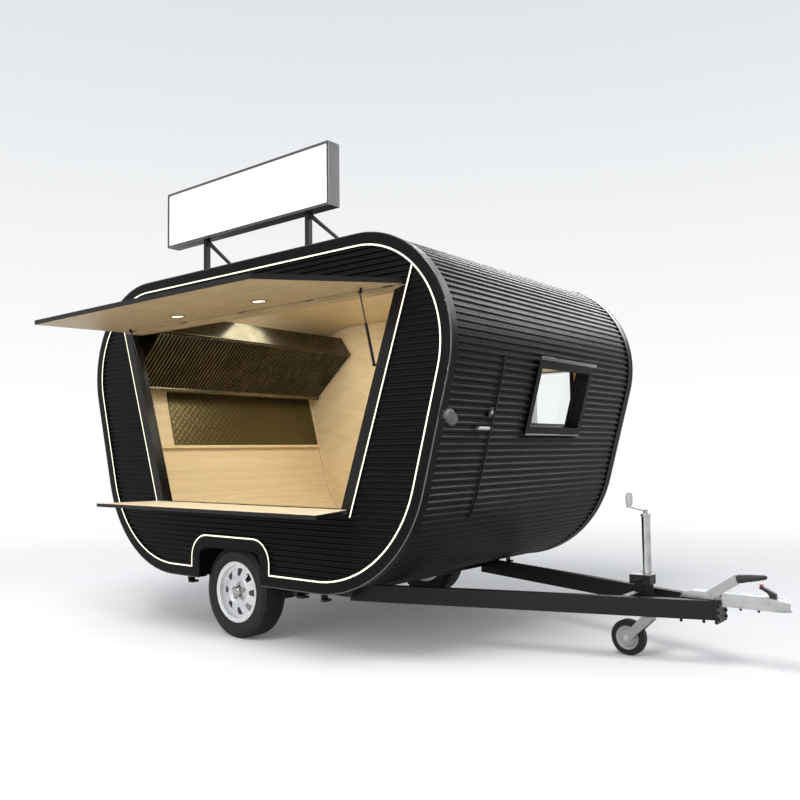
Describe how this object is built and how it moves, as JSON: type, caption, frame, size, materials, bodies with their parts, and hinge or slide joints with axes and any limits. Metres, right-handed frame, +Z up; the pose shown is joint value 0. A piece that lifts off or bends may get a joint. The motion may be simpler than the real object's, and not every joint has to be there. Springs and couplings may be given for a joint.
{
  "type": "food cart",
  "caption": "Towed food cart: rounded, tapered ribbed cabin with awning hatch, folding shelf, kitchen, blank roof sign, A-frame drawbar and jockey wheel",
  "frame": {"origin": "centre of the bounding box on the ground, awning open as in the picture", "axes": "+X forward to the tow coupling, +Y left (away from the serving side), +Z up"},
  "size_m": [4.57, 3.0781, 2.99],
  "materials": {
    "awning_black": "satin black flap",
    "shelf_wood": "oiled board",
    "gloss_black": "gloss black",
    "strut_black": "black tube",
    "steel": "ground rod",
    "ribbed_black": "black coated ribbed sheet over a core",
    "floor_board": "coated plywood",
    "trim_black": "smooth black trim",
    "light_line": "diffuser of a light line",
    "window_frame": "black frame",
    "glass": "clear pane",
    "lining_wood": "pale board",
    "quilted_steel": "quilted sheet",
    "stainless": "brushed sheet",
    "chassis_black": "black paint",
    "axle_zinc": "black paint",
    "box_black": "black liner",
    "tyre": "road tyre",
    "rim_silver": "silver paint",
    "zinc": "zinc plate",
    "castor_rubber": "solid tyre on a disc",
    "sign_white": "white face, dark sides",
    "post_black": "black paint"
  },
  "bodies": {
    "trailer": {"hatch_frame": "gloss_black", "front_wall": "ribbed_black", "rear_wall": "ribbed_black", "roof_panel": "ribbed_black", "floor_panel": "floor_board", "rim_trim_near": "trim_black", "rim_trim_far": "trim_black", "rim_light_near": "light_line", "wall_header": "ribbed_black", "wall_apron": "ribbed_black", "wall_pier_rear": "ribbed_black", "wall_pier_front": "ribbed_black", "wall_far": "ribbed_black", "front_window_frame": "window_frame", "front_window_pane": "glass", "far_window_frame": "window_frame", "far_window_pane": "glass", "kitchen_ledge": "lining_wood", "kitchen_splashback": "quilted_steel", "extraction_hood": "stainless", "chassis_rail_near": "chassis_black", "chassis_rail_far": "chassis_black", "chassis_cross": "chassis_black", "axle_beam": "axle_zinc", "wheel_box_near": "box_black", "wheel_box_far": "box_black", "drawbar_beam_near": "chassis_black", "drawbar_beam_far": "chassis_black", "drawbar_brace": "chassis_black", "drawbar_head": "zinc", "coupling_head": "zinc", "brake_lever": "zinc", "jack_tube": "zinc", "sign_box": "sign_white", "sign_post_rear": "post_black", "sign_post_front": "post_black"},
    "awning": {"awning_flap": "awning_black"},
    "shelf": {"serving_shelf": "shelf_wood"},
    "door": {"entry_door": "ribbed_black"},
    "wheel_near": {"tyre_near": "tyre", "rim_near": "rim_silver"},
    "wheel_far": {"tyre_far": "tyre", "rim_far": "rim_silver"},
    "strut_tube_rear": {"strut_tube_rear": "strut_black"},
    "strut_tube_front": {"strut_tube_front": "strut_black"},
    "strut_rod_rear": {"strut_rod_rear": "steel"},
    "strut_rod_front": {"strut_rod_front": "steel"},
    "jack_leg": {"jack_leg": "zinc"},
    "jack_fork": {"jack_fork": "zinc"},
    "jack_wheel": {"jack_wheel": "castor_rubber"}
  },
  "joints": [
    {"name": "wheel_near_spin", "type": "hinge", "parent": "trailer", "child": "wheel_near", "pos_m": [-0.741, -0.56966, 0.2915], "axis": [0, 1, 0], "continuous": true},
    {"name": "wheel_far_spin", "type": "hinge", "parent": "trailer", "child": "wheel_far", "pos_m": [-0.741, 1.39533, 0.2915], "axis": [0, 1, 0], "continuous": true},
    {"name": "awning_hinge", "type": "hinge", "parent": "trailer", "child": "awning", "pos_m": [-0.602, -0.71817, 2.062], "axis": [1, 0, 0], "range_deg": [0, 85.5]},
    {"name": "shelf_hinge", "type": "hinge", "parent": "trailer", "child": "shelf", "pos_m": [-0.602, -0.71817, 0.85], "axis": [-1, 0, 0], "range_deg": [0, 90]},
    {"name": "door_hinge", "type": "hinge", "parent": "trailer", "child": "door", "pos_m": [0.1509, 1.52984, 1.28], "axis": [0, 0, -1], "range_deg": [0, 100]},
    {"name": "jack_leg_slide", "type": "slide", "parent": "trailer", "child": "jack_leg", "axis": [0, 0, 1], "range_m": [0, 0.09]},
    {"name": "jack_fork_swivel", "type": "hinge", "parent": "jack_leg", "child": "jack_fork", "pos_m": [1.535, 0.41284, 0.22], "axis": [0, 0, 1], "continuous": true},
    {"name": "jack_wheel_spin", "type": "hinge", "parent": "jack_fork", "child": "jack_wheel", "pos_m": [1.415, 0.41284, 0.1], "axis": [0, 1, 0], "continuous": true},
    {"name": "strut_rear_swing", "type": "hinge", "parent": "trailer", "child": "strut_tube_rear", "pos_m": [-1.68091, -0.69717, 1.645], "axis": [-1, 0, 0], "range_deg": [0, 16.61]},
    {"name": "strut_rear_stroke", "type": "slide", "parent": "strut_tube_rear", "child": "strut_rod_rear", "axis": [0, 0.2821, -0.9594], "range_m": [0, 0.0825]},
    {"name": "strut_front_swing", "type": "hinge", "parent": "trailer", "child": "strut_tube_front", "pos_m": [0.47691, -0.69717, 1.645], "axis": [-1, 0, 0], "range_deg": [0, 16.61]},
    {"name": "strut_front_stroke", "type": "slide", "parent": "strut_tube_front", "child": "strut_rod_front", "axis": [0, 0.2821, -0.9594], "range_m": [0, 0.0825]}
  ],
  "couplings": [
    {"joint": "strut_rear_swing", "follows": "awning_hinge", "ratio": 0.19373},
    {"joint": "strut_rear_stroke", "follows": "awning_hinge", "m_per_rad": 0.05497},
    {"joint": "strut_front_swing", "follows": "awning_hinge", "ratio": 0.19373},
    {"joint": "strut_front_stroke", "follows": "awning_hinge", "m_per_rad": 0.05497}
  ]
}
